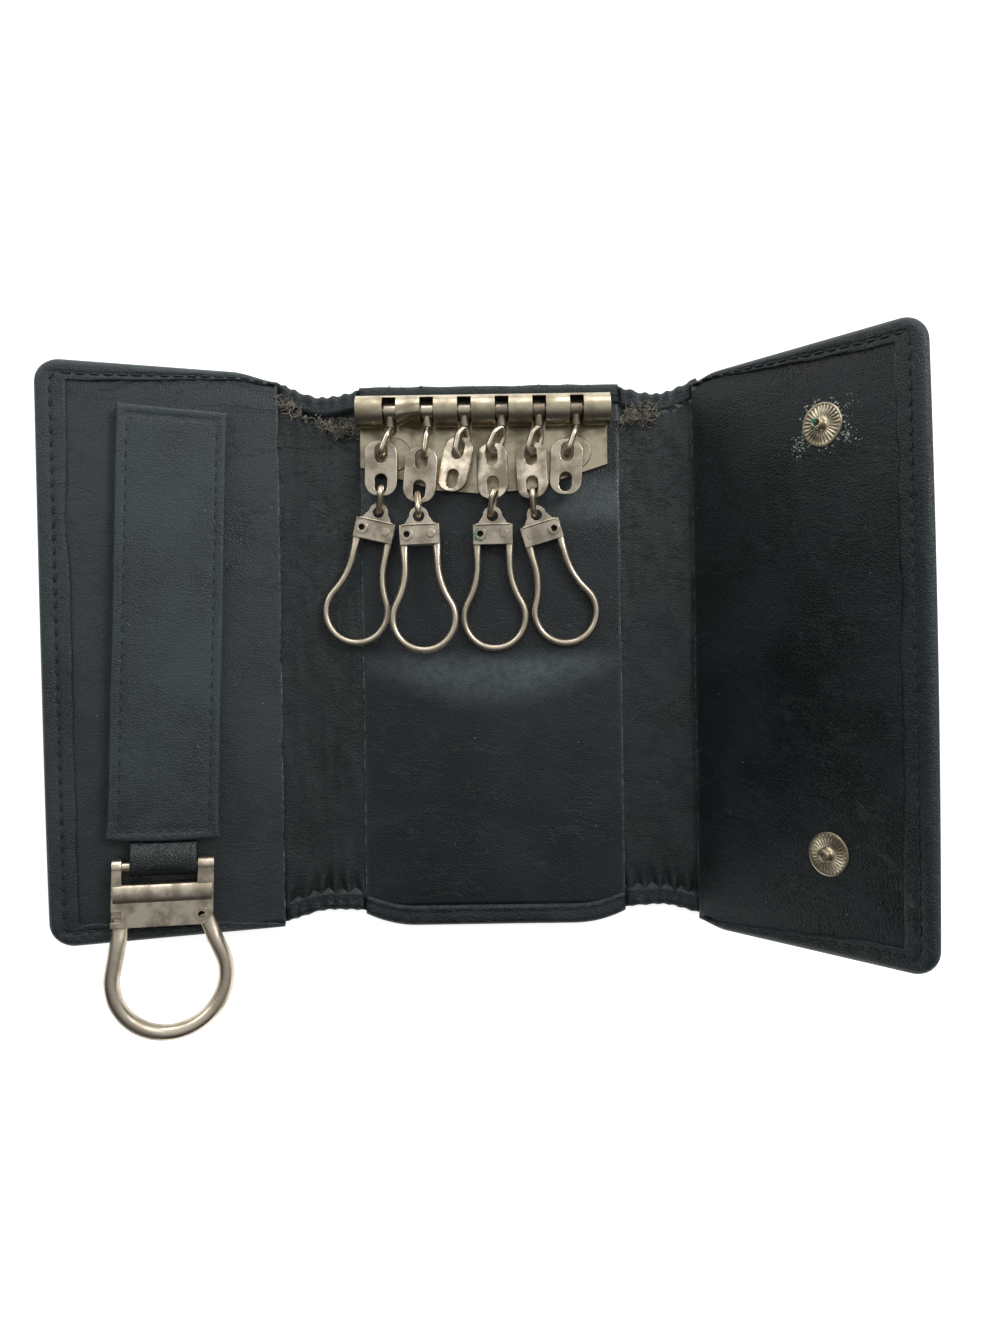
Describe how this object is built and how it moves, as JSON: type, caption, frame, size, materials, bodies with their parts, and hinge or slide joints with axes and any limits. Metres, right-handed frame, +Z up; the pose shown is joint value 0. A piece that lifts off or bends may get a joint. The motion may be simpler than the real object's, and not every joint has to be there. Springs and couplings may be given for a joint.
{
  "type": "key case",
  "caption": "Black leather trifold key case, open: rolled key row with swivel hooks, flat links and wire key clips, a large hook on a strap, and snap studs on one flap.",
  "frame": {"origin": "middle of the centre panel's underside, on the surface the open case lies on", "axes": "+X to the right across the three panels, +Y along the folds towards the key row, +Z up from the table"},
  "size_m": [0.1556, 0.1256, 0.0384],
  "materials": {
    "outer_leather": "matte",
    "lining_leather": "satin",
    "strip_lining": "matte",
    "strap_leather": "satin",
    "board": "matte",
    "worn_brass_nickel": "satin",
    "worn_nickel": "satin"
  },
  "bodies": {
    "case_centre": {"centre_back": "outer_leather", "centre_lining": "lining_leather", "key_plate": "worn_brass_nickel", "rail_rod": "worn_nickel", "plate_rivets": "worn_brass_nickel"},
    "left_strip": {"left_fold_back": "outer_leather", "left_fold_lining": "strip_lining"},
    "left_flap": {"left_flap_back": "outer_leather", "left_flap_board": "board", "left_flap_lining": "lining_leather", "strap_back": "strap_leather", "strap_top": "strap_leather", "keeper_loop": "strap_leather", "snap_sockets": "worn_nickel", "snap_caps": "worn_nickel"},
    "right_strip": {"right_fold_back": "outer_leather", "right_fold_lining": "strip_lining"},
    "right_flap": {"right_flap_back": "outer_leather", "right_flap_board": "board", "right_flap_lining": "lining_leather", "snap_studs": "worn_brass_nickel", "snap_posts": "worn_nickel"},
    "hook_head": {"hook_frame": "worn_nickel", "hook_pivot": "worn_nickel"},
    "hook_ring": {"hook_loop": "worn_nickel"},
    "collar_1": {"collar_1": "worn_nickel", "swivel_hook_1": "worn_nickel"},
    "link_1": {"flat_link_1": "worn_nickel"},
    "collar_2": {"collar_2": "worn_nickel", "swivel_hook_2": "worn_nickel"},
    "link_2": {"flat_link_2": "worn_nickel"},
    "collar_3": {"collar_3": "worn_nickel"},
    "hook_3": {"swivel_hook_3": "worn_nickel"},
    "link_3": {"flat_link_3": "worn_nickel"},
    "collar_4": {"collar_4": "worn_nickel", "swivel_hook_4": "worn_nickel"},
    "link_4": {"flat_link_4": "worn_nickel"},
    "collar_5": {"collar_5": "worn_nickel", "swivel_hook_5": "worn_nickel"},
    "link_5": {"flat_link_5": "worn_nickel"},
    "collar_6": {"collar_6": "worn_nickel"},
    "hook_6": {"swivel_hook_6": "worn_nickel"},
    "link_6": {"flat_link_6": "worn_nickel"},
    "ring_1": {"oval_ring_1": "worn_nickel"},
    "clip_1": {"clip_head_1": "worn_nickel", "clip_eyelet_1": "worn_nickel"},
    "key_loop_1": {"clip_loop_1": "worn_nickel"},
    "ring_2": {"oval_ring_2": "worn_nickel"},
    "clip_2": {"clip_head_2": "worn_nickel", "clip_eyelet_2": "worn_nickel"},
    "key_loop_2": {"clip_loop_2": "worn_nickel"},
    "ring_3": {"oval_ring_3": "worn_nickel"},
    "clip_3": {"clip_head_3": "worn_nickel", "clip_eyelet_3": "worn_nickel"},
    "key_loop_3": {"clip_loop_3": "worn_nickel"},
    "ring_4": {"oval_ring_4": "worn_nickel"},
    "clip_4": {"clip_head_4": "worn_nickel", "clip_eyelet_4": "worn_nickel"},
    "key_loop_4": {"clip_loop_4": "worn_nickel"}
  },
  "joints": [
    {"name": "left_fold", "type": "hinge", "parent": "case_centre", "child": "left_strip", "pos_m": [-0.0269, 0, 0.0008], "axis": [0, 1, 0], "range_deg": [-6, 69]},
    {"name": "left_flap_fold", "type": "hinge", "parent": "left_strip", "child": "left_flap", "pos_m": [-0.04047, 0, 0.00223], "axis": [0, 1, 0], "range_deg": [-12, 95.4]},
    {"name": "right_fold", "type": "hinge", "parent": "case_centre", "child": "right_strip", "pos_m": [0.0269, 0, 0.0008], "axis": [0, -1, 0], "range_deg": [0, 90]},
    {"name": "right_flap_fold", "type": "hinge", "parent": "right_strip", "child": "right_flap", "pos_m": [0.0409, 0, 0.0008], "axis": [0, -1, 0], "range_deg": [-49.5, 38.1]},
    {"name": "hook_swing", "type": "hinge", "parent": "left_flap", "child": "hook_head", "pos_m": [-0.06252, -0.03908, 0.01344], "axis": [0.9505, -0.0332, -0.3089], "range_deg": [-80, 0]},
    {"name": "hook_open", "type": "hinge", "parent": "hook_head", "child": "hook_ring", "pos_m": [-0.05614, -0.04851, 0.01137], "axis": [-0.309, 0, -0.9511], "range_deg": [-40, 0]},
    {"name": "collar_turn_1", "type": "hinge", "parent": "case_centre", "child": "collar_1", "pos_m": [-0.01943, 0.048, 0.005], "axis": [1, 0, 0], "range_deg": [-90, 0]},
    {"name": "link_swing_1", "type": "hinge", "parent": "collar_1", "child": "link_1", "pos_m": [-0.02128, 0.04201, 0.005], "axis": [0.9998, -0.0174, 0], "range_deg": [-40, 0]},
    {"name": "collar_turn_2", "type": "hinge", "parent": "case_centre", "child": "collar_2", "pos_m": [-0.01209, 0.048, 0.005], "axis": [1, 0, 0], "range_deg": [-90, 0]},
    {"name": "link_swing_2", "type": "hinge", "parent": "collar_2", "child": "link_2", "pos_m": [-0.0132, 0.0406, 0.005], "axis": [0.9962, -0.0872, 0], "range_deg": [-45, 0]},
    {"name": "collar_turn_3", "type": "hinge", "parent": "case_centre", "child": "collar_3", "pos_m": [-0.00477, 0.048, 0.005], "axis": [1, 0, 0], "range_deg": [-90, 0]},
    {"name": "hook_swivel_3", "type": "hinge", "parent": "collar_3", "child": "hook_3", "pos_m": [-0.00477, 0.04445, 0.005], "axis": [0, -1, 0], "range_deg": [-15, 0]},
    {"name": "link_swing_3", "type": "hinge", "parent": "hook_3", "child": "link_3", "pos_m": [-0.00549, 0.04247, 0.005], "axis": [0.9744, -0.225, 0], "range_deg": [-25, 0]},
    {"name": "collar_turn_4", "type": "hinge", "parent": "case_centre", "child": "collar_4", "pos_m": [0.00257, 0.048, 0.005], "axis": [1, 0, 0], "range_deg": [-90, 0]},
    {"name": "link_swing_4", "type": "hinge", "parent": "collar_4", "child": "link_4", "pos_m": [0.00045, 0.04116, 0.005], "axis": [0.9997, 0.0262, 0], "range_deg": [-40, 0]},
    {"name": "collar_turn_5", "type": "hinge", "parent": "case_centre", "child": "collar_5", "pos_m": [0.00989, 0.048, 0.005], "axis": [1, 0, 0], "range_deg": [-90, 0]},
    {"name": "link_swing_5", "type": "hinge", "parent": "collar_5", "child": "link_5", "pos_m": [0.00816, 0.04114, 0.005], "axis": [0.9994, 0.0349, 0], "range_deg": [-45, 0]},
    {"name": "collar_turn_6", "type": "hinge", "parent": "case_centre", "child": "collar_6", "pos_m": [0.01723, 0.048, 0.005], "axis": [1, 0, 0], "range_deg": [-90, 0]},
    {"name": "hook_swivel_6", "type": "hinge", "parent": "collar_6", "child": "hook_6", "pos_m": [0.01723, 0.04445, 0.005], "axis": [0, -1, 0], "range_deg": [-25, 0]},
    {"name": "link_swing_6", "type": "hinge", "parent": "hook_6", "child": "link_6", "pos_m": [0.01546, 0.04176, 0.005], "axis": [0.9978, -0.0663, 0], "range_deg": [-40, 0]},
    {"name": "ring_swing_1", "type": "hinge", "parent": "link_1", "child": "ring_1", "pos_m": [-0.02146, 0.03171, 0.005], "axis": [0.9903, -0.1392, 0], "range_deg": [-45, 0]},
    {"name": "clip_tuck_1", "type": "hinge", "parent": "ring_1", "child": "clip_1", "pos_m": [-0.02209, 0.02828, 0.00405], "axis": [-0.0023, -0.0097, 0.9999], "range_deg": [-3.6, 40.1]},
    {"name": "loop_open_1", "type": "hinge", "parent": "clip_1", "child": "key_loop_1", "pos_m": [-0.02534, 0.02538, 0.00402], "axis": [-0.0023, -0.0097, 0.9999], "range_deg": [-27, 0]},
    {"name": "ring_swing_2", "type": "hinge", "parent": "link_2", "child": "ring_2", "pos_m": [-0.01409, 0.03034, 0.005], "axis": [0.9986, 0.0523, 0], "range_deg": [-45, 0]},
    {"name": "clip_lift_2", "type": "hinge", "parent": "ring_2", "child": "clip_2", "pos_m": [-0.014, 0.02861, 0.00635], "axis": [0.9993, 0.0384, 0], "range_deg": [-45, 0]},
    {"name": "loop_open_2", "type": "hinge", "parent": "clip_2", "child": "key_loop_2", "pos_m": [-0.01631, 0.02344, 0.00644], "axis": [-0.0006, 0.0162, 0.9999], "range_deg": [-55, 0]},
    {"name": "ring_swing_3", "type": "hinge", "parent": "link_4", "child": "ring_3", "pos_m": [0.00072, 0.03087, 0.005], "axis": [0.9903, -0.1392, 0], "range_deg": [-45, 0]},
    {"name": "clip_lift_3", "type": "hinge", "parent": "ring_3", "child": "clip_3", "pos_m": [0.00043, 0.02882, 0.00425], "axis": [1, 0.0087, 0], "range_deg": [-45, 0]},
    {"name": "loop_open_3", "type": "hinge", "parent": "clip_3", "child": "key_loop_3", "pos_m": [-0.00203, 0.02373, 0.00397], "axis": [0.0005, -0.0541, 0.9985], "range_deg": [-40, 0]},
    {"name": "ring_swing_4", "type": "hinge", "parent": "link_5", "child": "ring_4", "pos_m": [0.00852, 0.03085, 0.005], "axis": [0.9962, 0.0872, 0], "range_deg": [-45, 0]},
    {"name": "clip_lift_4", "type": "hinge", "parent": "ring_4", "child": "clip_4", "pos_m": [0.0087, 0.02879, 0.00425], "axis": [0.9598, 0.2807, 0], "range_deg": [-45, 0]},
    {"name": "loop_open_4", "type": "hinge", "parent": "clip_4", "child": "key_loop_4", "pos_m": [0.01252, 0.02463, 0.00397], "axis": [-0.0152, 0.0519, -0.9985], "range_deg": [-55, 0]}
  ],
  "couplings": [
    {"joint": "clip_tuck_1", "follows": "left_fold", "ratio": 0.58}
  ]
}
